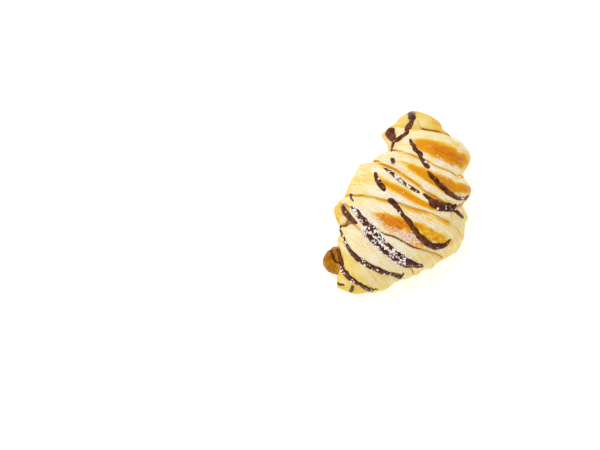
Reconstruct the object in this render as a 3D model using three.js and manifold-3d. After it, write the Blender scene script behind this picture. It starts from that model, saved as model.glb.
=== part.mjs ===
// A small laminated croissant roll with a chocolate drizzle poured over it.
// The roll is one baked piece; every run of chocolate that set on top is a piece of its own.
// Millimetres, +Z up. The roll lies along X, head towards +X, on its flat underside.

import * as THREE from 'three';
import { mergeVertices } from 'three/addons/utils/BufferGeometryUtils.js';
import Module from 'manifold-3d';

// ---- driving dimensions of the roll ----
const SPINE_RADIUS = 104;      // the roll is bent slightly, like every croissant
const SPINE_OFFSET = -4;       // where the middle of the bend lies across the roll
const TAIL_END = -58;          // distance along the spine of the tail tip
const HEAD_END = 60;           // distance along the spine of the head tip
const TIP_ROUNDING = 9;        // length over which each tip is rounded off
const WRAP_RELIEF = 1.4;       // how far a wrap swells out and its seam sinks in
const SECTION_POWER = 2.3;     // 2 would be an ellipse; more is fuller in the shoulders
const REST_FILLET = 1.5;       // softness of the edge of the flat underside
const ORIGIN_SHIFT = [0.1, 5.6];  // brings the middle of the footprint to the origin

// The general shape, as pairs of (distance along the spine, value)
const LEFT_WIDTH = [[-58, 3.6], [-54, 5.8], [-50, 9], [-41, 17.6], [-33, 22], [-28.5, 29.3],
  [-24, 31.5], [-20.5, 31.5], [-18, 31], [-13, 31], [-7, 31.4], [5, 32], [12, 32], [15.3, 30.8],
  [17, 28.2], [19, 25.6], [21.6, 23.9], [24.5, 23.2], [26.5, 22], [32, 18.5], [38, 20.4],
  [43.5, 22.4], [47, 20.6], [49.5, 16.4], [52, 14.4], [55, 14], [60, 11.5]];
const RIGHT_WIDTH = [[-58, 3.4], [-54.5, 5.8], [-50, 10.3], [-41, 16], [-34.5, 18.3], [-30, 21],
  [-22, 25], [-15, 30.5], [-10, 32.6], [-5.5, 36.5], [-2.5, 37.3], [1, 35.9], [6, 33.2], [9.5, 29.6],
  [12.5, 27.6], [16.5, 30], [20, 29.6], [23.8, 24.4], [28, 25.6], [32.5, 26.4], [35.5, 25.4],
  [39, 22.3], [42.8, 15.5], [46.2, 12], [50, 9.6], [53.3, 7.2], [56, 5.4], [60, 1]];
const TOP_HEIGHT = [[-58, 16], [-48, 28], [-38, 37], [-25, 45], [-10, 50], [2, 51], [14, 48], [28, 43],
  [42, 35], [50, 30], [60, 22]];
const UNDERSIDE = [[-58, 5], [-48, 0], [-30, -4], [0, -5], [30, -3], [45, 2], [60, 8]];

// The seams between the wraps: distance along the spine on the right flank, the crown, the left flank
const SEAMS = [[-43, -49, -43], [-29, -42, -35], [-24, -30, -33], [-12, -25, -22], [-2, -6, -15],
  [8, 8, 19], [22, 22, 30], [40, 41, 45]];

// Profile along one wrap from its tail-side edge: (share of its length, swell as a share of the relief)
const WRAP_PROFILE = [[0, -1], [0.1, 0.5], [0.35, 1], [0.65, 0.8], [0.9, -0.2]];
const COLUMNS = 40;            // facets round the roll

// The stub of the inner roll that shows beside the tail
const STUB_CENTRE = [-42, 17, 12];
const STUB_RADII = [7, 7.5, 8.5];
const STUB_FACETS = [14, 10];

// ---- the chocolate drizzle ----
const CLEARANCE = 0.35;        // gap between the chocolate and the crust
const POUR_HEIGHT = 100;       // the chocolate falls straight down from here
const DROP_STEP = 2.6;         // spacing of the points at which a run is laid on the crust
const RUN_SIDES = 6;           // facets round a run
// Every piece of set chocolate: the runs that flowed together, each with its width and the few
// places it passes over, seen from above as [x, y]
const DRIZZLE = {
  drizzle_head: [
    { width: 2.9, over: [[50, 16], [46, 14.5], [41.5, 13.5], [37, 14], [33.5, 13.5], [29.5, 16]] },
    { width: 3.8, over: [[29, 17.5], [32, 20.5], [34, 22]] },
    { width: 1.3, over: [[29, 17.5], [24.5, 17], [21, 15.5]] },
  ],
  drizzle_drop: [{ width: 2.4, over: [[16.5, 13.5], [13, 11]] }],
  drizzle_neck: [
    { width: 2.4, over: [[32, 10], [27.5, 5.5], [24.5, 0.5], [22, -2.5], [19, -6]] },
  ],
  drizzle_shoulder: [
    { width: 2.7, over: [[16, -9], [14, -13.5], [12, -22], [13.5, -28.5], [19.5, -32.5]] },
  ],
  drizzle_crown_thin: [
    { width: 2.0, over: [[9, 15], [7, 10], [5, 4], [4, -2.5], [3.5, -7.5]] },
  ],
  drizzle_crown_pool: [
    { width: 3.6, over: [[2.5, -12.5], [2, -15.5], [1.5, -20.5], [3.5, -26.5], [9, -28.5]] },
    { width: 1.9, over: [[5, -28], [5, -33], [6, -35.5]] },
  ],
  drizzle_middle_start: [
    { width: 2.7, over: [[4.5, 18], [2, 16.5], [-0.5, 14], [-2, 11], [-3.5, 8]] },
  ],
  drizzle_middle: [
    {
      width: 2.8,
      over: [[-7.5, 5], [-8.5, -0.5], [-12, -7], [-15, -13], [-17.5, -20.5], [-16.5, -29], [-11, -33.5]],
    },
  ],
  drizzle_fleck: [{ width: 1.3, over: [[-10, 25.5], [-12.5, 24], [-15, 21.5]] }],
  drizzle_left_fold: [
    { width: 2.4, over: [[-17, 27], [-20, 24.5], [-22.5, 21], [-24, 17.5], [-25, 14]] },
  ],
  drizzle_double_upper: [
    {
      width: 2.5,
      over: [[-17.5, 21.5], [-19.5, 16.5], [-23, 11], [-25, 4], [-28, -4], [-29.5, -11.5], [-30, -19], [-28, -26]],
    },
  ],
  drizzle_double_lower: [
    { width: 2.1, over: [[-25.5, 11], [-29, 4.5], [-31.5, -3.5], [-33, -11.5], [-32.5, -19], [-31.5, -22]] },
  ],
  drizzle_tail_upper: [
    { width: 1.7, over: [[-27.5, 22], [-32.5, 18], [-38, 11], [-40.5, 2], [-40.5, -7], [-39, -14], [-36.5, -18.5]] },
  ],
  drizzle_tail_lower: [
    { width: 1.8, over: [[-46.5, 11], [-49.5, 6], [-50.5, -0.5], [-50, -4], [-49, -7]] },
  ],
  drizzle_stub: [{ width: 1.9, over: [[-37, 20], [-39.5, 17.5], [-42, 15], [-43.5, 14]] }],
  drizzle_tip_fleck: [{ width: 1.3, over: [[-53.5, 11.5], [-53.5, 6.5]] }],
  drizzle_tip_dot: [{ width: 2.0, over: [[-52.5, 3.5], [-54.5, 3.5]] }],
};

// ---- helpers for shapes ----
const WELD = 1e-4;             // corners closer than this are one corner
const wasm = await Module();
wasm.setup();

/** A closed three.js geometry as a solid that can be joined and cut. */
function toSolid(geometry) {
  const bare = geometry.clone();
  bare.deleteAttribute('normal');
  bare.deleteAttribute('uv');
  const merged = mergeVertices(bare, WELD);
  return new wasm.Manifold(new wasm.Mesh({
    numProp: 3,
    vertProperties: merged.attributes.position.array,
    triVerts: new Uint32Array(merged.index.array),
  }));
}

/** A joined or cut solid as a three.js geometry. */
function toGeometry(solid) {
  const mesh = solid.getMesh();
  const geometry = new THREE.BufferGeometry();
  geometry.setAttribute('position', new THREE.BufferAttribute(mesh.vertProperties, 3));
  geometry.setIndex(new THREE.BufferAttribute(mesh.triVerts, 1));
  geometry.computeVertexNormals();
  return geometry;
}

/** Smooth curve through pairs of (place, value), level beyond both ends. */
function smoothThrough(pairs, place) {
  const last = pairs.length - 1;
  if (place <= pairs[0][0]) return pairs[0][1];
  if (place >= pairs[last][0]) return pairs[last][1];
  const slopeAt = index => {
    const before = pairs[Math.max(index - 1, 0)];
    const after = pairs[Math.min(index + 1, last)];
    return (after[1] - before[1]) / (after[0] - before[0]);
  };
  const end = pairs.findIndex(pair => pair[0] > place);
  const span = pairs[end][0] - pairs[end - 1][0];
  const share = (place - pairs[end - 1][0]) / span;
  const ease = share * share * (3 - 2 * share);
  const leave = slopeAt(end - 1) * span * share * (1 - share) ** 2;
  const arrive = slopeAt(end) * span * share * share * (share - 1);
  return pairs[end - 1][1] * (1 - ease) + pairs[end][1] * ease + leave + arrive;
}

// ---- the baked roll ----
/** How full the roll is near its tips: 1 along the body, falling to 0 as a quarter circle. */
function tipFullness(along) {
  const inside = Math.min(along - TAIL_END, HEAD_END - along) / TIP_ROUNDING;
  return Math.sqrt(Math.max(0, 1 - Math.max(0, 1 - inside) ** 2));
}

/** Height of a point once the soft dough has settled onto the tray at height zero. */
function settle(height) {
  if (height > REST_FILLET) return height;
  if (height < -REST_FILLET) return 0;
  return (height + REST_FILLET) ** 2 / (4 * REST_FILLET);
}

/** Point of the crust at a distance along the spine and an angle round it, 0 at the crown. */
function crustPoint(along, angle, swell) {
  const left = smoothThrough(LEFT_WIDTH, along);
  const right = smoothThrough(RIGHT_WIDTH, along);
  const top = smoothThrough(TOP_HEIGHT, along);
  const bottom = smoothThrough(UNDERSIDE, along);
  const fullness = tipFullness(along);
  const round = value => Math.sign(value) * Math.abs(value) ** (2 / SECTION_POWER);
  const across = (left - right) / 2 + ((left + right) / 2 + swell) * fullness * round(Math.sin(angle));
  const height = (top + bottom) / 2 + ((top - bottom) / 2 + swell) * fullness * round(Math.cos(angle));
  const turn = along / SPINE_RADIUS;
  const reach = SPINE_RADIUS - across;
  return new THREE.Vector3(
    reach * Math.sin(turn),
    SPINE_OFFSET + SPINE_RADIUS - reach * Math.cos(turn),
    settle(height),
  );
}

/** Distance along the spine of a seam at an angle round the roll. */
function seamPlace([right, crown, left], angle) {
  const sine = Math.sin(angle);
  return crown + (left - right) / 2 * sine + ((left + right) / 2 - crown) * sine * sine;
}

/** The crust: a sphere whose rings are spread over the wraps and moved out to the crust's surface. */
function crustGeometry() {
  const borders = [[TAIL_END, TAIL_END, TAIL_END], ...SEAMS, [HEAD_END, HEAD_END, HEAD_END]];
  const rings = [];
  for (let wrap = 0; wrap < borders.length - 1; wrap += 1) {
    for (const [share, swell] of WRAP_PROFILE) {
      rings.push({ wrap, share, swell });
    }
  }
  rings.push({ wrap: borders.length - 2, share: 1, swell: 0 });

  const sphere = new THREE.SphereGeometry(1, COLUMNS, rings.length - 1);
  sphere.deleteAttribute('normal');
  sphere.deleteAttribute('uv');
  const crust = mergeVertices(sphere, WELD);
  const position = crust.attributes.position;
  for (let index = 0; index < position.count; index += 1) {
    const spot = new THREE.Vector3().fromBufferAttribute(position, index);
    const fromTail = Math.acos(THREE.MathUtils.clamp(-spot.y, -1, 1)) / Math.PI;
    const { wrap, share, swell } = rings[Math.round(fromTail * (rings.length - 1))];
    const angle = Math.atan2(-spot.x, spot.z);
    const along = THREE.MathUtils.lerp(
      seamPlace(borders[wrap], angle),
      seamPlace(borders[wrap + 1], angle),
      share,
    );
    const moved = crustPoint(along, angle, swell * WRAP_RELIEF);
    position.setXYZ(index, moved.x, moved.y, moved.z);
  }
  return crust;
}

/** The short stub of the inner roll: an egg-shaped end that the last wrap holds. */
function stubGeometry() {
  const stub = new THREE.SphereGeometry(1, ...STUB_FACETS);
  stub.scale(...STUB_RADII);
  stub.translate(...STUB_CENTRE);
  return stub;
}

// ---- the chocolate ----
/** A geometry moved outwards along its own vertex normals. */
function swollen(geometry, distance) {
  const grown = geometry.clone();
  grown.computeVertexNormals();
  const { position, normal } = grown.attributes;
  for (let index = 0; index < position.count; index += 1) {
    const spot = new THREE.Vector3().fromBufferAttribute(position, index);
    const outward = new THREE.Vector3().fromBufferAttribute(normal, index);
    spot.addScaledVector(outward, distance);
    position.setXYZ(index, spot.x, spot.y, spot.z);
  }
  return grown;
}

/** The highest point of a mesh straight below a place in plan. */
function topOf(mesh, x, y) {
  const spout = new THREE.Vector3(x, y, POUR_HEIGHT);
  const down = new THREE.Vector3(0, 0, -1);
  return new THREE.Raycaster(spout, down).intersectObject(mesh)[0].point;
}

/** One run of chocolate before it is cut to the crust: a round bar with round ends. */
function runSolid({ width, over }, ground) {
  const plan = new THREE.CatmullRomCurve3(over.map(([x, y]) => new THREE.Vector3(x, y, 0)));
  const steps = Math.max(2, Math.ceil(plan.getLength() / DROP_STEP));
  const laid = plan.getSpacedPoints(steps).map(({ x, y }) => topOf(ground, x, y));
  const outline = new THREE.Shape();
  outline.absarc(0, 0, width / 2, 0, 2 * Math.PI);
  const bar = new THREE.ExtrudeGeometry(outline, {
    extrudePath: new THREE.CatmullRomCurve3(laid),
    steps: laid.length,
    curveSegments: RUN_SIDES / 2,
    bevelEnabled: false,
  });
  const ends = [laid[0], laid[laid.length - 1]].map(({ x, y, z }) => {
    const end = new THREE.SphereGeometry(width / 2, RUN_SIDES, RUN_SIDES / 2);
    end.translate(x, y, z);
    return toSolid(end);
  });
  return toSolid(bar).add(ends[0]).add(ends[1]);
}

/** A piece of set chocolate: its runs joined, cut clear of the crust, without loose crumbs. */
function chocolateGeometry(runs, ground) {
  const poured = runs.map(run => runSolid(run, ground)).reduce((whole, run) => whole.add(run));
  const pieces = poured.subtract(toSolid(ground.geometry)).decompose();
  pieces.sort((one, other) => other.volume() - one.volume());
  return toGeometry(pieces[0]);
}

// ---- the croissant ----
const crustLook = new THREE.MeshStandardMaterial({ color: 0xe8b765, roughness: 0.55, metalness: 0 });
const chocolateLook = { color: 0x3a211c, roughness: 0.25, metalness: 0 };

const croissant = new THREE.Group();
croissant.position.set(...ORIGIN_SHIFT, 0);
const rollGeometry = toGeometry(toSolid(crustGeometry()).add(toSolid(stubGeometry())));
const roll = new THREE.Mesh(rollGeometry, crustLook);
roll.name = 'pastry_roll';
croissant.add(roll);

const clearSolid = toSolid(rollGeometry)
  .add(toSolid(swollen(rollGeometry, CLEARANCE / 2)))
  .add(toSolid(swollen(rollGeometry, CLEARANCE)));
const clearGround = new THREE.Mesh(toGeometry(clearSolid));
for (const [name, runs] of Object.entries(DRIZZLE)) {
  const look = new THREE.MeshStandardMaterial(chocolateLook);
  const chocolate = new THREE.Mesh(chocolateGeometry(runs, clearGround), look);
  chocolate.name = name;
  croissant.add(chocolate);
}

export default croissant;
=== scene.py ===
# %% [markdown]
# # A chocolate-drizzled croissant
# A small roll of laminated dough lies on a pale floor. The solid model already fixes its place and
# its size, so this lesson only makes its looks: the stepped wraps with their toasted ridges, the
# glossy chocolate runs, and the icing sugar. Everything is in metres, but the shape is worked out
# in millimetres first, because a baker's hand thinks in millimetres.

# %% Load the solid model and keep its box
import bpy
import numpy as np
from mathutils import Matrix, Vector


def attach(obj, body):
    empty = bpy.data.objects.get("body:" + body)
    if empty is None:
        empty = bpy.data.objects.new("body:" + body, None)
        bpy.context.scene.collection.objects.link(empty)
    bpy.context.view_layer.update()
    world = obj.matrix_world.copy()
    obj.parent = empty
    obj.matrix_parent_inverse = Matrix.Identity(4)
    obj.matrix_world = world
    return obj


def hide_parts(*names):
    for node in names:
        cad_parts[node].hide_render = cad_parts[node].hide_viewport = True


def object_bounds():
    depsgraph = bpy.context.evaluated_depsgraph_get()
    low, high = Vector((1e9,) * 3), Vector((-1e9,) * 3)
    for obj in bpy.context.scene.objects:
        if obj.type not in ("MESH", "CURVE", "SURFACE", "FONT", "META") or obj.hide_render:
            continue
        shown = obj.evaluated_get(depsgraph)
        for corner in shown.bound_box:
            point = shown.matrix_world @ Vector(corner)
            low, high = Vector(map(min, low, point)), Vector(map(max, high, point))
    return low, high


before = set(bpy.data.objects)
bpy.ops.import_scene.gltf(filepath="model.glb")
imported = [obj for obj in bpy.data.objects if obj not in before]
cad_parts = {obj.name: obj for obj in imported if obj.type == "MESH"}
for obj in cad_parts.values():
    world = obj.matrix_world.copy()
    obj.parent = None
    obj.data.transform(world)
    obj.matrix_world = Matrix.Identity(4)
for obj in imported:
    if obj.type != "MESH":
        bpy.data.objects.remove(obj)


def plain_box():
    """The whole object's lowest and highest corner as plain lists of numbers."""
    return [list(map(float, corner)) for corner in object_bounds()]


cad_box = plain_box()
NODES = sorted(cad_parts)
DRIZZLE_NODES = [name for name in NODES if name.startswith("drizzle_")]
print("solid model", [round(high - low, 4) for low, high in zip(*cad_box)], len(NODES), "nodes")

# %% [markdown]
# ## The camera
# The roll is seen from almost straight above, with its head up and to the right. The camera looks
# along a line given by its turn round the vertical and its height above the horizon. It aims past
# the roll, so that the roll lies right of the middle of the picture, as it does on the baker's
# sheet with its neighbours taken away.

# %% Camera
TURN = np.radians(-63.3)
HEIGHT = np.radians(77.0)
LENS_MM = 85.0
SENSOR_MM = 36.0
DISTANCE = 0.779
ASIDE = (-0.0545, -0.0121)      # how far right and up of the roll's middle the camera aims
ROLL_MIDDLE = Vector((0.0001, 0.0056, 0.025))

level = Vector((-np.sin(TURN), np.cos(TURN), 0.0))
right = Vector((np.cos(TURN), np.sin(TURN), 0.0))
forward = level * np.cos(HEIGHT) - Vector((0.0, 0.0, np.sin(HEIGHT)))
up = right.cross(forward)
aim = ROLL_MIDDLE + right * ASIDE[0] + up * ASIDE[1]

camera_data = bpy.data.cameras.new("product_camera")
camera_data.lens = LENS_MM
camera_data.sensor_width = SENSOR_MM
camera_data.clip_start = 0.01
camera = bpy.data.objects.new("product_camera", camera_data)
axes = Matrix((right, up, -forward)).transposed().to_4x4()
camera.matrix_world = Matrix.Translation(aim - forward * DISTANCE) @ axes
bpy.context.scene.collection.objects.link(camera)
bpy.context.scene.camera = camera
print("camera at", [round(value, 3) for value in camera.matrix_world.translation])

# %% [markdown]
# ## Curves through a few measures
# The roll's outline is known at a dozen places along it. A smooth curve through those measures
# gives every place between them. The same helper shapes the profile of a wrap and the width of a
# chocolate run.


# %% Smooth curve helpers
def smooth_through(pairs, place):
    """Cubic through (place, value) pairs: between two pairs the value eases from one to the other
    (3t^2 - 2t^3) and the slope at each pair is that of the line between its neighbours."""
    places, values = np.array(pairs, float).T
    before, after = np.r_[0, :len(places) - 1], np.r_[1:len(places), len(places) - 1]
    slopes = (values[after] - values[before]) / (places[after] - places[before])
    inner = np.clip(place, places[0], places[-1])
    end = np.clip(np.searchsorted(places, inner, side="right"), 1, len(places) - 1)
    span = places[end] - places[end - 1]
    share = (inner - places[end - 1]) / span
    ease = share * share * (3 - 2 * share)
    leave = slopes[end - 1] * span * share * (1 - share) ** 2
    arrive = slopes[end] * span * share * share * (share - 1)
    return values[end - 1] * (1 - ease) + values[end] * ease + leave + arrive


def soft_step(low, high, value):
    """0 at low, 1 at high, and the smooth 3t^2 - 2t^3 between them; low may be the larger one."""
    share = np.clip((value - low) / (high - low), 0.0, 1.0)
    return share * share * (3 - 2 * share)


def window(value, rise_from, rise_to, fall_from, fall_to):
    """0, then 1, then 0 again: a soft step up times one minus a soft step that comes later."""
    return soft_step(rise_from, rise_to, value) * (1 - soft_step(fall_from, fall_to, value))


def hump(value, middle, width):
    """A bell: exp(-((value - middle) / width)^2)."""
    return np.exp(-((value - middle) / width) ** 2)


def ripples(points, wavelength, seed, waves=14):
    """Gentle irregularity: the mean of sine waves in random directions, sin(2 pi k.p / L + phase),
    each with a length L near the asked one. Scaled to swing about plus or minus one."""
    draw = np.random.default_rng(seed)
    total = np.zeros(points.shape[:-1])
    for _ in range(waves):
        heading = draw.normal(size=points.shape[-1])
        heading /= np.linalg.norm(heading) * wavelength * draw.uniform(0.7, 1.4)
        total += np.sin(2 * np.pi * (points @ heading) + draw.uniform(0, 2 * np.pi))
    return total / np.sqrt(waves / 2) * 0.6


print("a quarter of the way along, a soft step is", soft_step(0.0, 1.0, 0.25))

# %% [markdown]
# ## The general shape of the roll
# A croissant is a spindle, bent a little along its length and flat where it lay on the tray. The
# spine is an arc. At every distance along it the cross-section has its own width to the left and
# to the right, a top and an underside, and slightly full shoulders. Dough that would go below the
# tray is pressed flat on it.

# %% Spindle measures in millimetres
MM = 0.001
SPINE_RADIUS = 104.0
SPINE_OFFSET = -4.0              # how far the arc's middle lies beside the origin
TAIL_END, HEAD_END = -57.2, 60.0
TIP_ROUNDING = 9.0               # length over which a tip closes
SECTION_POWER = 2.3              # 2 is a plain oval, more gives fuller shoulders
REST_FILLET = 1.5
ORIGIN_SHIFT = (0.1, 5.6)        # brings the middle of the footprint to the origin

# Measures at places along the spine, as (place, value)
LEFT_WIDTH = [(-58, 1.2), (-54, 4.2), (-50, 6.6), (-46, 11), (-41, 17.6), (-33, 22), (-28.5, 29.3),
              (-24, 31.5), (-20.5, 31.5), (-18, 31), (-13, 31), (-7, 31.4), (5, 32), (12, 32),
              (15.3, 29.9), (17, 27.2), (19, 25.6), (21.6, 23.9), (24.5, 23.2), (26.5, 22),
              (32, 18), (37, 18.8), (41, 20.2), (44, 22), (47, 20.6), (49.5, 16.4), (52, 14.4),
              (55, 14), (60, 11.5)]
RIGHT_WIDTH = [(-58, 3.4), (-54.5, 5.8), (-50, 10.3), (-41, 16), (-36.5, 18.4), (-30, 20.4),
               (-22, 25.2), (-15, 30.4), (-10, 32.7), (-6.5, 37.4), (-2.5, 37.6), (1, 35.9),
               (6, 33.2), (9.5, 30.4), (12.5, 27.6), (16.5, 29.5), (20, 29.6), (23.8, 24.4),
               (27.6, 23.3), (32.5, 25.8), (35.5, 25.2), (39, 22.2), (42.8, 15.3), (46.2, 11),
               (50, 9.6), (53.3, 7.2), (56, 5.4), (60, 1)]
TOP_HEIGHT = [(-58, 16), (-48, 28), (-38, 37), (-25, 45), (-10, 50), (2, 51), (14, 48), (28, 43),
              (42, 35), (50, 30), (60, 22)]
UNDERSIDE = [(-58, 5), (-48, 0), (-30, -4), (0, -5), (30, -3), (45, 2), (60, 8)]
print("spine radius", SPINE_RADIUS, "mm, from", TAIL_END, "to", HEAD_END, "mm along it")


# %% [markdown]
# The section of the roll is a full oval, and carrying it along a bent line gives the body. The
# underside is pressed flat afterwards, as dough is by its own weight on the tray.

# %% The general shape
def rounded(value):
    """Sine or cosine drawn out for full shoulders: sign(v) * |v| ^ (2 / power)."""
    return np.sign(value) * np.abs(value) ** (2 / SECTION_POWER)


def settle(height):
    """Presses dough flat on the tray: below -f it is 0, above f it stays, and between them
    (h + f)^2 / 4f joins the two smoothly."""
    pressed = (height + REST_FILLET) ** 2 / (4 * REST_FILLET)
    return np.where(height > REST_FILLET, height, np.where(height < -REST_FILLET, 0.0, pressed))


def crust_points(along, angle, swell):
    """Points of the roll in millimetres. The section at a distance along the spine is a full
    oval: across = offset + (half width + swell) * rounded(sin angle) and height = middle +
    (half height + swell) * rounded(cos angle), shrunk to nothing at the tips as a quarter
    circle; the section is then turned with the spine's arc."""
    left, right_side, top, bottom = (smooth_through(measure, along) for measure in (
        LEFT_WIDTH, RIGHT_WIDTH, TOP_HEIGHT, UNDERSIDE))
    inside = np.minimum(along - TAIL_END, HEAD_END - along) / TIP_ROUNDING
    fullness = np.sqrt(np.clip(1 - np.clip(1 - inside, 0, None) ** 2, 0, None))
    across = (left - right_side) / 2 + (
        ((left + right_side) / 2 + swell) * fullness * rounded(np.sin(angle)))
    height = (top + bottom) / 2 + ((top - bottom) / 2 + swell) * fullness * rounded(np.cos(angle))
    turn = along / SPINE_RADIUS
    reach = SPINE_RADIUS - across
    x = reach * np.sin(turn) + ORIGIN_SHIFT[0]
    y = SPINE_OFFSET + SPINE_RADIUS - reach * np.cos(turn) + ORIGIN_SHIFT[1]
    return np.stack([x, y, settle(height)], axis=-1)


print("top halfway along", round(float(crust_points(0.0, 0.0, 0.0)[2]), 1), "mm")

# %% [markdown]
# ## The wraps
# A strip of dough is rolled up, so the surface is a row of wraps. Each one ends in a lip that
# stands a little proud of the next and hangs over it, and the seam below the lip is a real
# undercut. That undercut casts the thin dark lines, and painted shade in the seams darkens
# them more.
# Every seam is a ring with its own place at the right flank, the crown and the left flank.

# %% Seams round the roll
SEAM_SIDES = [-1.0, -0.7, -0.35, 0.0, 0.35, 0.7, 1.0]      # from the right flank to the left one
# Places along the spine at those sides, depth, which way the lip faces (1 to the tail, -1 to the
# head), and how strong the painted golden shade along the seam is
SEAMS = [
    ([-43, -47, -48.5, -49.2, -48.9, -47.6, -43], 1.7, 1, 0.25),
    ([-29, -36, -39.2, -41.6, -41.6, -40, -35.2], 1.8, 1, 0.35),
    ([-23.8, -28.5, -29.6, -30.1, -29.1, -30, -33], 1.7, 1, 0.5),
    ([-11.8, -18.2, -21.1, -24.3, -24.7, -22.6, -21.8], 1.9, 1, 0.55),
    ([-1.8, -2.1, -3.2, -5.5, -8.4, -11.6, -15], 0.7, 1, 0.9),
    ([12, 5.5, 5.2, 8.1, 11.5, 14.8, 19.5], 0.75, 1, 0.95),
    ([22.5, 20.9, 20.8, 22.6, 24.9, 26.8, 30], 0.65, 1, 1.05),
    ([39.6, 40, 41, 41.3, 42.6, 44.4, 45], 1.9, -1, 0.6),
]
(TAIL_TIP, TAIL_WRAP, CREAM_WRAP, FOLD_WRAP, LOW_WRAP, MID_WRAP, UPPER_WRAP, NECK_WRAP,
 KNOB) = range(9)
COLUMNS = 254                    # points round the roll
WANDER, WANDER_LENGTH = 0.45, 11.0                         # how a seam wavers, in millimetres
WANDER_CIRCLE = 30.0             # worked out on a circle about as large as the roll

angles = np.linspace(-np.pi, np.pi, COLUMNS, endpoint=False)
sides = rounded(np.sin(angles))
circle = np.stack([np.cos(angles), np.sin(angles)], axis=-1) * WANDER_CIRCLE
rings = [np.full(COLUMNS, TAIL_END)]
for number, (places, *_) in enumerate(SEAMS):
    ring = smooth_through(list(zip(SEAM_SIDES, places)), sides)
    rings.append(ring + WANDER * ripples(circle, WANDER_LENGTH, seed=40 + number))
rings = np.array([*rings, np.full(COLUMNS, HEAD_END)])
print("wraps", len(rings) - 1, "narrowest", round(float(np.diff(rings, axis=0).min()), 1), "mm")

# %% [markdown]
# Short curves describe how a wrap starts from a seam and, turned round, how it ends at one. A
# wrap's own lip curls under itself and its nose hangs over the seam. A tucked edge dives below
# the neighbour's lip. Share is the way across the wrap, lean moves the surface over or under the
# seam line, and depth is how much of the seam's depth it has there.

# %% Profile of one wrap
LIP = {"share": [(0, 0), (0.05, 0), (0.09, 0), (0.13, 0.01), (0.18, 0.04), (0.28, 0.13)],
       "lean": [(0, 1), (0.05, 0), (0.09, -0.8), (0.13, -0.95), (0.18, -0.5), (0.28, 0)],
       "depth": [(0, 1), (0.05, 0.8), (0.09, 0.35), (0.13, 0.08), (0.18, 0), (0.28, 0)]}
TUCK = {"share": [(0, 0), (0.04, 0.03), (0.08, 0.065), (0.28, 0.24)],
        "lean": [(0, -1), (0.05, 0), (0.28, 0)],
        "depth": [(0, 1), (0.04, 0.72), (0.08, 0.52), (0.16, 0.24), (0.28, 0)]}
TIP = {"share": [(0, 0), (0.28, 0.28)], "lean": [(0, 0), (0.28, 0)], "depth": [(0, 0), (0.28, 0)]}
OVERHANG = 0.714                 # how far a lip hangs over, for each millimetre beyond shallow
SHALLOW = 0.75                   # a seam no deeper than this has no overhang
CREST_CURVE = [(0, 0.1), (0.1, 0.5), (0.2, 0.85), (0.38, 1), (0.6, 0.8), (0.8, 0.35), (1, 0)]


def hang(depth):
    """How far a lip hangs over a seam, in millimetres: overhang * (depth - shallow), at least 0."""
    return OVERHANG * np.clip(depth - SHALLOW, 0, None)


def from_seam(step, start, end, kind, mirrored):
    """A curve over a whole wrap from its two ends: the start's pairs as they are, and the end's
    pairs turned round, so that step becomes 1 - step and the value becomes mirrored(value)."""
    pairs = start[kind] + [(1 - place, mirrored(value)) for place, value in reversed(end[kind])]
    return smooth_through(pairs, step)


print("the deepest seams' lips hang over by", round(float(hang(1.9)), 2), "mm")

# %% [markdown]
# Each wrap is a grid of its own between two seams, and the grids follow one another into one long
# grid for the whole crust. Rings of points lie close together at a seam, where the shape turns
# sharply, and further apart between.

# %% One wrap as a grid
WRAP_ROWS = [30, 30, 36, 28, 58, 46, 46, 56, 40]           # rings of points in each wrap
TIP_CROWDING = 1.7               # rings crowd towards a tip as step ^ crowding
TIP_CREST = 0.6                  # the tips swell less than the other wraps


def wrap_rows(index):
    """One wrap as a grid of (place along the spine, crest, sink, share across the wrap).
    place = lower ring + (upper - lower) * share + overhang * lean, crest is the swell's curve,
    and sink = the two seams' depth curves, in millimetres."""
    step = np.arange(WRAP_ROWS[index]) / WRAP_ROWS[index]
    is_tail, is_head = index == TAIL_TIP, index == KNOB
    _, depth_below, facing_below, _ = (0, 0.0, 1, 0) if is_tail else SEAMS[index - 1]
    _, depth_above, facing_above, _ = (0, 0.0, 1, 0) if is_head else SEAMS[index]
    if is_tail:
        step = step ** TIP_CROWDING
    if is_head:
        step = 1 - (1 - step) ** TIP_CROWDING
    start = TIP if is_tail else LIP if facing_below > 0 else TUCK
    end = TIP if is_head else TUCK if facing_above > 0 else LIP
    share = from_seam(step, start, end, "share", lambda value: 1 - value)
    lean = from_seam(step, start, end, "lean", lambda value: -value)
    sink = (smooth_through(start["depth"] + [(1, 0)], step) * depth_below
            + smooth_through(end["depth"] + [(1, 0)], 1 - step) * depth_above)
    crest = smooth_through(CREST_CURVE, step if facing_above > 0 else 1 - step)
    crest = crest * (TIP_CREST if is_tail or is_head else 1)
    lower, upper = rings[index], rings[index + 1]
    overhang = np.where(step < 0.5, hang(depth_below), hang(depth_above))
    place = lower + (upper - lower) * share[:, None] + (overhang * lean)[:, None]
    columns = (crest, sink, share, np.full(len(step), index))
    return place, *(np.broadcast_to(column[:, None], place.shape) for column in columns)


rows = [wrap_rows(index) for index in range(len(WRAP_ROWS))]
along, crest, sink, share, wrap = (np.concatenate(parts) for parts in zip(*rows))
along = np.clip(along, TAIL_END, HEAD_END)
angle = np.broadcast_to(angles, along.shape)
side = np.broadcast_to(sides, along.shape)
print("crust grid", along.shape)

# %% [markdown]
# ## Zones of the crust
# The oven and the baker's hand give every wrap its own face, so several things below need a soft
# window on one wrap: between two lines that follow the seams and between two sides. The lines are
# given as pairs of side and share, from the right flank (-1) to the left one (1). One fold of its
# own, the skirt, hangs smoothly over the low right flank, and the seams fade out under it.

# %% Soft windows on the wraps
def level_line(share_across):
    """A line that keeps one share across its wrap from flank to flank."""
    return [(-1, share_across), (1, share_across)]


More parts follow.
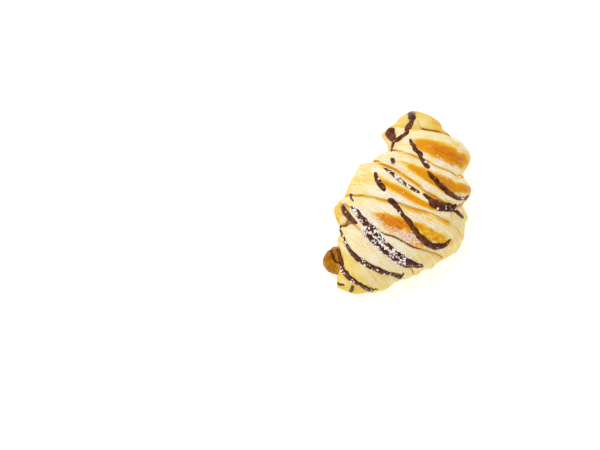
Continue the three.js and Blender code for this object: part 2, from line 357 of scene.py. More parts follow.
def zone(index, low_line, high_line, sides_between, soft_share=0.06, soft_side=0.1):
    """1 inside a patch of one wrap and 0 outside, with soft edges: the share across the wrap lies
    between two lines over the side, and the side lies between two values."""
    low, high = smooth_through(low_line, side), smooth_through(high_line, side)
    first, last = sides_between
    across = window(share, low - soft_share, low + soft_share, high - soft_share,
                    high + soft_share)
    round_it = window(side, first - soft_side, first + soft_side, last - soft_side,
                      last + soft_side)
    return (wrap == index) * across * round_it * upper


def crease(line, width, fade=0.08):
    """A soft groove beside a line of (side, place along the spine): exp(-(distance / width)^2)
    across it, fading out at the line's two ends."""
    first, last = line[0][0], line[-1][0]
    return (hump(along, smooth_through(line, side), width)
            * window(side, first, first + fade, last - fade, last) * upper)


upward = soft_step(-0.25, 0.35, np.cos(angle))
upper = soft_step(-0.45, 0.0, np.cos(angle))
SKIRT_EDGE = [(-12, -1.05), (-9.4, -0.96), (-7.4, -0.87), (-4.9, -0.75), (-2, -0.66), (7, -0.62)]
skirt_edge = smooth_through(SKIRT_EDGE, along)
skirt = (soft_step(skirt_edge + 0.02, skirt_edge - 0.05, side) * window(along, -15, -12, 4, 7)
         * soft_step(-0.7, -0.1, np.cos(angle)))
print("skirt covers", round(float(skirt.mean()), 3), "of the grid")

# %% [markdown]
# ## Relief
# Three scales of relief lie on the wraps. Broad lumps come from the dough's own proving. Fine
# ridges parallel to the seams are the edges of the butter layers, strongest near a lip where the
# strip was cut. A few single creases were pressed in by the hand that rolled it.

# %% Relief in millimetres
CREST = 1.8                      # how far a wrap swells above the general shape
SUNK_BASE = 0.7                  # the whole skin lies this much lower, to leave room for relief
LAYER = 1.35                     # distance between two edges of butter layers
plain_points = crust_points(along, angle, 0.0)


def uneven(mean, swing, wavelength, seed, least=0.0, most=1.0):
    """A share that varies from place to place: mean + swing * ripples, held between two values."""
    return np.clip(mean + swing * ripples(plain_points, wavelength, seed=seed), least, most)


lumps = 0.42 * ripples(plain_points, 17.0, seed=1) + 0.2 * ripples(plain_points, 7.0, seed=2)
from_lip = share * (rings[1:] - rings[:-1])[wrap, np.arange(COLUMNS)]
layer_phase = from_lip / LAYER + 0.8 * ripples(plain_points * [0.5, 1, 1], 9.0, seed=3)
layers = np.abs(np.sin(np.pi * layer_phase))
near_lip = 1 - soft_step(0.25, 0.55, share)
patchy = uneven(0.5, 0.8, 12.0, seed=4)
layer_height = 0.08 + 0.28 * near_lip * patchy + 0.12 * (np.cos(angle) < 0.5)
print("layer edges up to", round(float(layer_height.max()), 2), "mm high")

# %% [markdown]
# A few creases, one curled fold, one fold that stands proud and some ruffles low on the right are
# this roll's own. They join the swell of each wrap, the seams and the layer edges as one height,
# added to the general shape along its section.

# %% Creases, ruffles and the swell
# Depth, width, and the line as (side, place along the spine)
CREASES = [(0.7, 0.7, [(-0.05, 13), (0.16, 12.4), (0.41, 14.4), (0.75, 17)]),
           (0.45, 0.5, [(-0.6, -9.5), (-0.3, -12.4), (-0.1, -14)]),
           (0.4, 0.8, [(-0.2, 33.5), (0.2, 32.5), (0.6, 35.5)]),
           (0.5, 0.5, [(-0.97, -40.6), (-0.82, -41.1), (-0.58, -41.5), (-0.4, -41.3)])]
creases = sum(depth * crease(line, width) for depth, width, line in CREASES)

# The curl is the short fold that ends the knob's seam; the tab is the whole folded wrap
curl = hump(side, 0.11 * soft_step(45, 50, along) - 0.1, 0.032)
curl = curl * window(along, 41.5, 43, 48, 51) * upper
tab = zone(FOLD_WRAP, level_line(0), level_line(1), (0.5, 1.1))

# Ruffles crimp the low right flank near the tail
ruffle = 0.9 * ripples(plain_points * [1, 0.3, 0.3], 4.5, seed=14)
ruffle = ruffle * soft_step(-0.85, -0.97, side) * window(along, -40, -36, -16, -12)

# The seams nearly close under the skirt and on the left of the head
head_left = soft_step(0.0, 0.2, side) * upper * (np.abs(along - 43.5) < 6)
sink_now = sink * (1 - 0.9 * skirt) * (1 - 0.75 * head_left)
swell = (CREST * crest * (1 - 0.6 * skirt) - sink_now + lumps + layers * layer_height * (1 - skirt)
         - creases - 0.7 * curl + tab - 0.9 * skirt + ruffle)
points = crust_points(along, angle, swell - SUNK_BASE)
print("relief from", round(float(swell.min()), 2), "to", round(float(swell.max()), 2), "mm")

# %% [markdown]
# ## Baking colour
# Raised parts brown first. Each wrap carries one long toasted patch on its ridge, pointed at the
# left end and broad at the right, while the folds stay cream. The colour is not painted here:
# these cells only say how baked (0 raw to 1 deep orange), how buttery yellow, how deep in a
# groove and how dusted every point is, and the materials turn that into colour.

# %% Toasted patches
# Wrap, lower line and upper line as (side, share), the sides between, strength
TOASTED = [
    (NECK_WRAP, [(-1, 0.25), (-0.87, 0.22), (-0.5, 0.19), (-0.16, 0.2), (0.1, 0.21), (0.45, 0.28)],
     [(-1, 0.52), (-0.76, 0.58), (-0.54, 0.64), (-0.2, 0.68), (0.16, 0.65), (0.45, 0.56)],
     (-0.98, 0.42), 0.78),
    (NECK_WRAP, [(-1, 0.36), (-0.45, 0.33), (0, 0.4), (0.2, 0.42)],
     [(-1, 0.45), (-0.5, 0.52), (-0.1, 0.55), (0.2, 0.48)], (-0.85, 0.0), 0.18),
    (NECK_WRAP, [(-1, 0.42), (-0.8, 0.5), (-0.7, 0.63), (-0.5, 0.74)],
     [(-1, 0.6), (-0.8, 0.68), (-0.7, 0.8), (-0.5, 0.92)], (-1, -0.5), 0.16),
    (UPPER_WRAP, [(-1, 0.45), (-0.84, 0.38), (-0.56, 0.27), (-0.27, 0.31), (0.1, 0.33), (0.4, 0.4)],
     [(-1, 0.7), (-0.79, 0.73), (-0.5, 0.78), (-0.22, 0.73), (-0.04, 0.63), (0.19, 0.55),
      (0.4, 0.47)], (-1.05, 0.28), 0.78),
    (UPPER_WRAP, [(0, 0.38), (0.6, 0.36)], [(0, 0.56), (0.6, 0.46)], (0.18, 0.5), 0.42),
    (MID_WRAP, [(-0.4, 0.16), (-0.22, 0.14), (-0.07, 0.17), (0.1, 0.22), (0.27, 0.27), (0.41, 0.35),
                (0.6, 0.44), (0.8, 0.46)],
     [(-0.4, 0.4), (-0.29, 0.42), (0, 0.47), (0.34, 0.52), (0.6, 0.54)], (-0.38, 0.58), 0.8),
    (MID_WRAP, level_line(0.3), level_line(0.6), (0.5, 0.84), 0.14),
    (MID_WRAP, level_line(0.1), level_line(0.9), (0.7, 1.2), 0.07),
    (LOW_WRAP, [(-0.5, 0.16), (-0.3, 0.17), (-0.16, 0.15), (0, 0.18), (0.15, 0.22), (0.35, 0.28)],
     [(-0.5, 0.5), (-0.27, 0.55), (-0.1, 0.58), (0.04, 0.55), (0.16, 0.5), (0.27, 0.42),
      (0.4, 0.33)], (-0.34, 0.32), 0.92),
    (LOW_WRAP, [(-0.8, 0.03), (-0.3, 0.04), (0, 0.13), (0.2, 0.2)],
     [(-0.8, 0.26), (-0.3, 0.4), (0, 0.4), (0.2, 0.4)], (-0.7, 0.25), 0.78),
    (LOW_WRAP, level_line(0.3), [(-0.6, 0.58), (-0.3, 0.62)], (-0.5, -0.3), 0.8),
    (LOW_WRAP, [(-0.95, 0.3), (-0.8, 0.28), (-0.5, 0.3), (-0.3, 0.35)],
     [(-0.95, 0.52), (-0.7, 0.62), (-0.3, 0.62)], (-0.9, -0.3), 0.56),
    (FOLD_WRAP, level_line(0.1), level_line(0.9), (0.62, 1.0), 0.42),
]
GLOWS, COVERS = 0.7, 0.3         # a patch stronger than this glows round itself, or covers others

bake = 0.1 + 0.05 * ripples(plain_points, 15.0, seed=5)
for *place, strength in TOASTED:
    if strength > GLOWS:
        bake = np.maximum(bake, 0.55 * strength * zone(*place, soft_share=0.16, soft_side=0.2))
    patch = strength * zone(*place, soft_share=0.09, soft_side=0.09)
    bake = np.maximum(bake, patch) if strength > COVERS else bake + patch
freckled = (wrap == LOW_WRAP) * soft_step(0.05, -0.25, side) * upper
bake = bake * (1 + 0.4 * freckled * ripples(plain_points, 2.8, seed=15))
print("toasted patches", len(TOASTED))

# %% [markdown]
# The flanks and the two ends brown a little all over. A thin band of painted golden shade runs
# along every seam, more painted golden shade lies where a wrap tucks under the next and in the
# creases, and the open ends of the butter layers colour unevenly beside the seams.

# %% Browning of flanks, ends and cut edges, and painted shade at the seams
flank = 1 - soft_step(-0.2, 0.75, np.cos(angle))
rim = np.maximum(soft_step(-0.42, -0.6, side), soft_step(53.5, 57, along)) * (wrap == KNOB)
bake = bake + 0.16 * flank * (wrap > CREAM_WRAP) + 0.36 * rim
bake = bake + 0.26 * soft_step(0.5, 0.92, np.abs(side)) * ((wrap == KNOB) | (wrap == TAIL_TIP))

# Painted golden shade in the last part of a wrap, where it tucks under the next
painted_tuck_shade = soft_step(0.76, 0.97, share) * (wrap > TAIL_TIP) * (wrap < NECK_WRAP)
painted_tuck_shade = painted_tuck_shade * uneven(0.8, 0.5, 14.0, seed=7, least=0.2, most=1.1)
# Painted golden shade along every seam
seam_shade_strength = np.array([gold for *_, gold in SEAMS])
painted_seam_shade = hump(rings[1:-1, None, :], along[None] + 0.4, 1.15) * seam_shade_strength[:, None, None]
painted_seam_shade = painted_seam_shade.max(axis=0) * uneven(0.75, 0.6, 11.0, seed=8)
CUT_EDGES = [(UPPER_WRAP, level_line(0), [(-1, 0.34), (0, 0.26), (0.5, 0.16)], (-0.9, 0.2)),
             (NECK_WRAP, level_line(0), [(-1, 0.2), (0, 0.1)], (-0.9, -0.1)),
             (LOW_WRAP, [(-1, 0.66), (1, 0.7)], level_line(1), (-0.75, 0.1)),
             (MID_WRAP, level_line(0), [(-1, 0.2), (1, 0.16)], (-0.7, 0.1))]
cut_edge = sum(zone(*edge) for edge in CUT_EDGES)
bake = np.maximum(bake, 0.36 * painted_tuck_shade) + 0.14 * (layers - 0.6) * near_lip
bake = bake + 0.66 * (0.55 - layers) * cut_edge * (0.35 + 0.9 * patchy) + 0.1 * cut_edge
# The painted seam shade, and a little painted shade in the creases
bake = np.maximum(bake, 0.5 * painted_seam_shade) + 0.16 * creases
bake = np.clip(bake, 0, 1) * (1 - 0.75 * skirt) + 0.1 * skirt
print("toasted share of the crust", round(float((bake > 0.6).mean()), 3))

# %% [markdown]
# The two thin ends took more egg wash and butter than the rest, so they are a stronger yellow. The
# number is given wrap by wrap, and a few pale places are taken out of it, one of them a painted
# highlight in the middle of the knob.

# %% How buttery
BUTTER = np.array([1.65, 0.95, 0.2, 0.06, 0.06, 0.06, 0.06, 0.06, 1.4])        # wrap by wrap
# A painted highlight in the middle of the knob
painted_knob_highlight = hump(along, 47.4, 2.9) * hump(side, -0.27, 0.2) * (wrap == KNOB)
pale_band = hump(along, -43.3, 1.1) * (wrap == TAIL_WRAP) * soft_step(-0.8, -0.6, side)
butter = BUTTER[wrap] * (1 + 0.4 * ripples(plain_points * [1, 0.6, 1], 7.0, seed=13))
butter = butter + 0.35 * tab + 0.3 * skirt + 0.2 * flank
butter = np.clip(butter - 0.5 * pale_band - 0.8 * painted_knob_highlight - 0.6 * rim, 0, 1.5)
print("butter up to", round(float(butter.max()), 2))

# %% [markdown]
# Grooves get painted shade: the darker colour follows how deep the seams are, with a painted
# shadow line where a gap opens under a lip. The lowest few millimetres scorched on the
# tray.

# %% Painted groove shade and scorch
# Painted shadow lines beyond a lip's nose: seam, the sides between, how far beyond it, breadth
SHADOW_LINES = [(4, (-0.8, 0.04), 0.1, 0.62), (8, (-0.97, 0.0), 1.0, 0.9),
              (3, (0.55, 1.1), 0.1, 0.5), (6, (-1.1, -0.5), 0.1, 0.45)]
# Painted shade: darker colour by the seams' depth, in the creases and in the curl
groove = 0.6 * np.clip(sink_now / 1.6, 0, 1) + 0.3 * np.clip(creases, 0, 1) + 0.5 * curl
for number, (first, last), beyond, breadth in SHADOW_LINES:
    _, depth, facing, _ = SEAMS[number - 1]
    line = rings[number] - facing * (hang(depth) + beyond)
    within = window(side, first, first + 0.1, last - 0.12, last)
    groove = np.maximum(groove, hump(along, line, breadth) * within * upper)

# A painted shadow line along the tab's lower edge, in dark groove colour and in baked colour
painted_tab_shadow = hump(along, -31.4, 1.2) * hump(np.cos(angle), 0.14, 0.14) * (side > 0)
groove = np.clip(groove + 0.55 * painted_tab_shadow, 0, 1)
bake = np.maximum(bake, 0.7 * painted_tab_shadow)
scorch_height = points[..., 2] + 0.8 * ripples(plain_points, 9.0, seed=9)
scorch = 0.9 * (1 - soft_step(0.4, 6.0, scorch_height))
print("grooved share of the crust", round(float((groove > 0.5).mean()), 3))

# %% [markdown]
# Sugar stays on what faces up: on ridges beside the seams rather than on the toasted domes.

# %% How dusted
# Wrap, lower line and upper line as (side, share), the sides between, how much sugar
DUSTED = [
    (NECK_WRAP, level_line(0.04), [(-1, 0.22), (0, 0.21), (0.4, 0.21)], (-0.85, 0.42), 0.9),
    (UPPER_WRAP, [(-1, 0.76), (1, 0.7)], level_line(1), (-0.95, 0.0), 0.8),
    (UPPER_WRAP, level_line(0.05), [(-1, 0.22), (0, 0.26), (0.5, 0.3)], (-0.85, 0.6), 0.75),
    (MID_WRAP, level_line(0.02), [(-1, 0.12), (-0.22, 0.11), (0.1, 0.17), (0.3, 0.23), (0.6, 0.34)],
     (-0.8, 0.6), 1.0),
    (MID_WRAP, level_line(0.6), level_line(0.9), (-0.3, 0.75), 0.45),
    (LOW_WRAP, [(-1, 0.62), (0.7, 0.6)], [(-1, 0.9), (1, 0.86)], (-0.6, 0.6), 0.6),
    (LOW_WRAP, level_line(0), [(-0.8, 0.3), (-0.3, 0.24), (0, 0.22), (0.3, 0.34)], (-0.72, 0.4),
     0.85),
    (LOW_WRAP, level_line(0), [(0, 0.3), (0.3, 0.5), (0.5, 0.6)], (0.3, 0.6), 0.6),
    (LOW_WRAP, [(0, 0.59), (0.19, 0.59), (0.29, 0.54), (0.39, 0.44), (0.46, 0.31)],
     [(0, 0.72), (0.19, 0.72), (0.29, 0.67), (0.39, 0.57), (0.46, 0.44)], (0.04, 0.5), 1.1),
    (FOLD_WRAP, level_line(0), level_line(1), (-0.6, 0.3), 0.55),
    (CREAM_WRAP, level_line(0), level_line(1), (-0.7, 0.75), 0.5),
    (TAIL_WRAP, level_line(0.3), level_line(1), (-0.9, -0.2), 0.35),
]
powder = np.zeros(along.shape)
for *place, strength in DUSTED:
    powder = np.maximum(powder, strength * zone(*place, soft_share=0.06, soft_side=0.12))
powder = powder * uneven(0.85, 0.5, 6.0, seed=6, least=0.2) * upward
print("dusted share of the crust", round(float((powder > 0.3).mean()), 3))

# %% [markdown]
# ## From grid to mesh
# A grid of points with one pole at each end becomes a closed skin: four-sided faces between
# neighbouring rings, and a fan of triangles at each pole. The ring direction comes first round
# the face so that every face looks outwards. A UV map in millimetres, round the roll and along
# it, lets a material draw marks that follow the wraps.


# %% Mesh helpers
def closed_grid(points_mm):
    """Vertices and faces of a skin from rings of points, in metres: every ring joins the next by
    quads (i, j), (i + 1, j), (i + 1, j + 1), (i, j + 1), and the first and the last ring shrink to
    a single pole, the mean of the ring, joined by triangles."""
    rows_count, columns = points_mm.shape[:2]
    inner = points_mm[1:-1]
    poles = points_mm[[0, -1]].mean(axis=1)
    vertices = np.concatenate([inner.reshape(-1, 3), poles]) * MM
    column = np.arange(columns)
    following = (column + 1) % columns
    start = np.arange(rows_count - 3)[:, None] * columns
    quads = np.stack([start + column, start + columns + column,
                      start + columns + following, start + following], axis=-1).reshape(-1, 4)
    first_pole, last_pole = len(vertices) - 2, len(vertices) - 1
    last = (rows_count - 3) * columns
    fan_in = np.stack([np.full(columns, first_pole), column, following], axis=-1)
    fan_out = np.stack([np.full(columns, last_pole), last + following, last + column], axis=-1)
    return vertices, quads, np.concatenate([fan_in, fan_out])


def put_mesh(name, vertices, quads, triangles):
    """A new object at the origin from arrays: the loops of all faces one after another."""
    mesh = bpy.data.meshes.new(name)
    corners = np.concatenate([quads.ravel(), triangles.ravel()]).astype(np.int32)
    totals = np.concatenate([np.full(len(quads), 4), np.full(len(triangles), 3)])
    starts = np.concatenate([[0], np.cumsum(totals)[:-1]]).astype(np.int32)
    mesh.vertices.add(len(vertices))
    mesh.vertices.foreach_set("co", vertices.astype(np.float32).ravel())
    mesh.loops.add(len(corners))
    mesh.loops.foreach_set("vertex_index", corners)
    mesh.polygons.add(len(totals))
    mesh.polygons.foreach_set("loop_start", starts)
    mesh.polygons.foreach_set("use_smooth", np.ones(len(totals), bool))
    mesh.update(calc_edges=True)
    mesh.validate()
    piece = bpy.data.objects.new(name, mesh)
    bpy.context.scene.collection.objects.link(piece)
    return piece


def mark(piece, name, values):
    """A number for every vertex, kept as a mesh attribute that materials can read."""
    layer = piece.data.attributes.new(name, "FLOAT", "POINT")
    layer.data.foreach_set("value", np.asarray(values, np.float32).ravel())


def grid_values(values):
    """One value for every vertex of closed_grid: the inner rings, then the two poles."""
    return np.concatenate([values[1:-1].ravel(), values[[0, -1]].mean(axis=1)])


# %% The crust
crust = put_mesh("crust", *closed_grid(points))
for name, values in {"bake": bake, "butter": butter, "groove": groove, "powder": powder,
                     "scorch": scorch}.items():
    mark(crust, name, grid_values(np.broadcast_to(values, along.shape)))


def unroll(piece, rows_count, columns, around_mm, along_mm):
    """UV map in millimetres: the corner of a face at ring i and column j gets (around, along). The
    last column's faces continue to a whole turn instead of jumping back to the start."""
    column = np.arange(columns)
    ring = np.arange(rows_count - 3)[:, None]
    corners = [(ring, column), (ring + 1, column), (ring + 1, column + 1), (ring, column + 1)]
    fan = [(0, column), (0, column), (0, column + 1)]
    tip = [(rows_count - 3, column), (rows_count - 3, column + 1), (rows_count - 3, column)]
    kinds = [(corners, (rows_count - 3, columns)), (fan, (columns,)), (tip, (columns,))]
    blocks = []
    for face, shape in kinds:
        sheet = [np.stack([np.broadcast_to(around_mm[where_column], shape),
                           np.broadcast_to(along_mm[where_ring, where_column % columns], shape)],
                          axis=-1) for where_ring, where_column in face]
        blocks.append(np.stack(sheet, axis=-2).reshape(-1, 2))
    layer = piece.data.uv_layers.new(name="unrolled")
    layer.data.foreach_set("uv", np.concatenate(blocks).astype(np.float32).ravel())


UNROLL_RADIUS = 26.0             # about the roll's own radius, so that the map isn't stretched
around_mm = np.linspace(-np.pi, np.pi, COLUMNS + 1) * UNROLL_RADIUS
unroll(crust, *along.shape, around_mm, along[1:-1])
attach(crust, "root")
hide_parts("pastry_roll")
print(crust.name, len(crust.data.vertices), "vertices", len(crust.data.polygons), "faces")

# %% [markdown]
# ## The stub
# The tail end of the strip sticks out low on the left, browned all round because it met the hot
# tray. It is a short rounded roll end: an oval ball, pressed a little flat, with slanting
# gaps where the wound layers part.

# %% The toasted stub
STUB_MIDDLE = np.array([-41.8 + ORIGIN_SHIFT[0], 17.0 + ORIGIN_SHIFT[1], 12.0])
STUB_RADII = np.array([7.3, 7.5, 9.0])
STUB_ROWS, STUB_COLUMNS = 110, 150


def stub_points(rise, turn):
    """A full-shouldered ball of rise (pole to pole) and turn (round it), its poles on the across
    axis: unit = rounded(sin rise cos turn, -cos rise, sin rise sin turn). Every layer of the wound
    strip ends in a gap exp(-(distance / width)^2); the outer one is deep and hooked and narrows
    downwards, the inner ones are straight and shallow. It also gives how much painted shade lies
    in the gaps and folds, and a painted highlight inside the hook."""
    unit = rounded(np.stack([np.sin(rise) * np.cos(turn), -np.cos(rise) + 0 * turn,
                             np.sin(rise) * np.sin(turn)], axis=-1))
    over = 0.71 * unit[..., 0] - 0.70 * unit[..., 1] + 0.1 * unit[..., 2]
    down = -0.70 * unit[..., 0] - 0.71 * unit[..., 1]
    hooked = over - 1.6 * np.clip(down - 0.05, 0, 0.6) ** 2
    gaps = np.exp(-((hooked + 0.2) / (0.15 - 0.13 * np.clip(down, 0, 0.6))) ** 2)
    folds = np.exp(-((over + 0.52) / 0.06) ** 2) + np.exp(-((over + 0.78) / 0.06) ** 2)
    length = (1 - 0.1 * gaps - 0.03 * folds + 0.045 * ripples(unit, 0.9, seed=11)
              + 0.015 * ripples(unit, 0.25, seed=12))
    # A painted highlight inside the hook
    painted_highlight = np.exp(-((over + 0.02) / 0.09) ** 2) * soft_step(0.05, 0.4, down)
    return unit * length[..., None] * STUB_RADII + STUB_MIDDLE, gaps + 0.35 * folds, painted_highlight


stub_rise = np.linspace(0, np.pi, STUB_ROWS)[:, None]
stub_turn = np.linspace(0, 2 * np.pi, STUB_COLUMNS, endpoint=False)[None, :]
stub_grid, stub_gap_shade, stub_highlight = stub_points(*np.broadcast_arrays(stub_rise, stub_turn))
stub_grid[..., 2] = settle(stub_grid[..., 2])
toasted_stub = put_mesh("toasted_stub", *closed_grid(stub_grid))
# Painted shade in the gaps and folds, and a painted highlight inside the hook
mark(toasted_stub, "groove", grid_values(np.clip(stub_gap_shade, 0, 1)))
mark(toasted_stub, "painted_highlight", grid_values(stub_highlight))
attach(toasted_stub, "root")
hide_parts("pastry_roll")
print(toasted_stub.name, len(toasted_stub.data.polygons), "faces")

# %% [markdown]
# ## The height of the crust
# Melted chocolate and sugar both fall from above and stay where they land. To lay them on, the
# crust is turned into a height map: a table of cells seen from above, each holding the highest
# point of the crust that falls in it. Reading the table between cells gives the height anywhere.

# %% Height map from above
CELL = 0.3                       # a cell's side, in millimetres
MAP_CORNER = np.array([-60.0, -44.0])
MAP_SHAPE = (400, 294)
SLOPE_STEP, STEEPEST = 0.8, 2.0  # how far the slope looks to each side, and where it is held back


def finer(grid, times):
    """The same grid with more points, straight between neighbours, closed round its rings."""
    wrapped = np.concatenate([grid, grid[:, :1]], axis=1)
    for axis in (0, 1):
        count = wrapped.shape[axis]
        place = np.linspace(0, count - 1, (count - 1) * times + 1)
        low = np.minimum(place.astype(int), count - 2)
        part = (place - low).reshape((-1, 1, 1) if axis == 0 else (1, -1, 1))
        here, beyond = np.take(wrapped, low, axis), np.take(wrapped, low + 1, axis)
        wrapped = here * (1 - part) + beyond * part
    return wrapped


def highest(grids):
    """Highest z in every cell: each point's cell is its (x, y) from the corner over the cell size,
    and empty cells take the mean of their filled neighbours, three rings outwards."""
    table = np.full(MAP_SHAPE, -1.0)
    for grid in grids:
        cells = ((grid[..., :2] - MAP_CORNER) / CELL).round().astype(int).reshape(-1, 2)
        np.maximum.at(table, (cells[:, 0], cells[:, 1]), grid[..., 2].ravel())
    for _ in range(3):
        filled = (table >= 0).astype(float)
        total, weight = blur(table * filled, 1, 1), blur(filled, 1, 1)
        table = np.where((filled == 0) & (weight > 0.3), total / np.maximum(weight, 1e-6), table)
    return np.maximum(table, 0.0)


def blur(table, radius, times):
    """Mean over a square of cells, done along each axis by adding shifted copies."""
    for _ in range(times):
        for axis in (0, 1):
            table = sum(np.roll(table, shift, axis) for shift in range(-radius, radius + 1))
            table = table / (2 * radius + 1)
    return table


def read_map(table, x, y):
    """Height at (x, y): the four cells round it, weighed by how near they are."""
    column, row = (x - MAP_CORNER[0]) / CELL, (y - MAP_CORNER[1]) / CELL
    i, j = np.floor(column).astype(int), np.floor(row).astype(int)
    s, t = column - i, row - j
    return (table[i, j] * (1 - s) * (1 - t) + table[i + 1, j] * s * (1 - t)
            + table[i, j + 1] * (1 - s) * t + table[i + 1, j + 1] * s * t)


def surface_normal(x, y):
    """Which way the smoothed crust faces: (-dz/dx, -dz/dy, 1) scaled to length one. The slopes are
    those over a short step to both sides, and very steep ones are held back."""
    step = SLOPE_STEP
    slope_x = read_map(smooth_surface, x + step, y) - read_map(smooth_surface, x - step, y)
    slope_y = read_map(smooth_surface, x, y + step) - read_map(smooth_surface, x, y - step)
    slopes = np.clip(np.stack([slope_x, slope_y], axis=-1) / (2 * step), -STEEPEST, STEEPEST)
    normal = np.concatenate([-slopes, np.ones(slopes.shape[:-1] + (1,))], axis=-1)
    return normal / np.linalg.norm(normal, axis=-1, keepdims=True)


surface = highest([finer(points, 3), finer(stub_grid, 2)])
smooth_surface = blur(surface, 2, 2)
resting = np.maximum(surface, smooth_surface)
print("highest place of the crust", round(float(surface.max()), 2), "mm")

# %% [markdown]
# ## The chocolate
# Dark chocolate was trickled to and fro across the roll from a spoon. Each run is a bead that has
# set where it fell: broad where the hand was slow, thin where it was quick, and broken where a
# wrap's edge was too steep to hold it. A bead is a profile carried along a path. Its upper side
# is a low dome on the smoothed crust, and its underside is pressed into the crust.

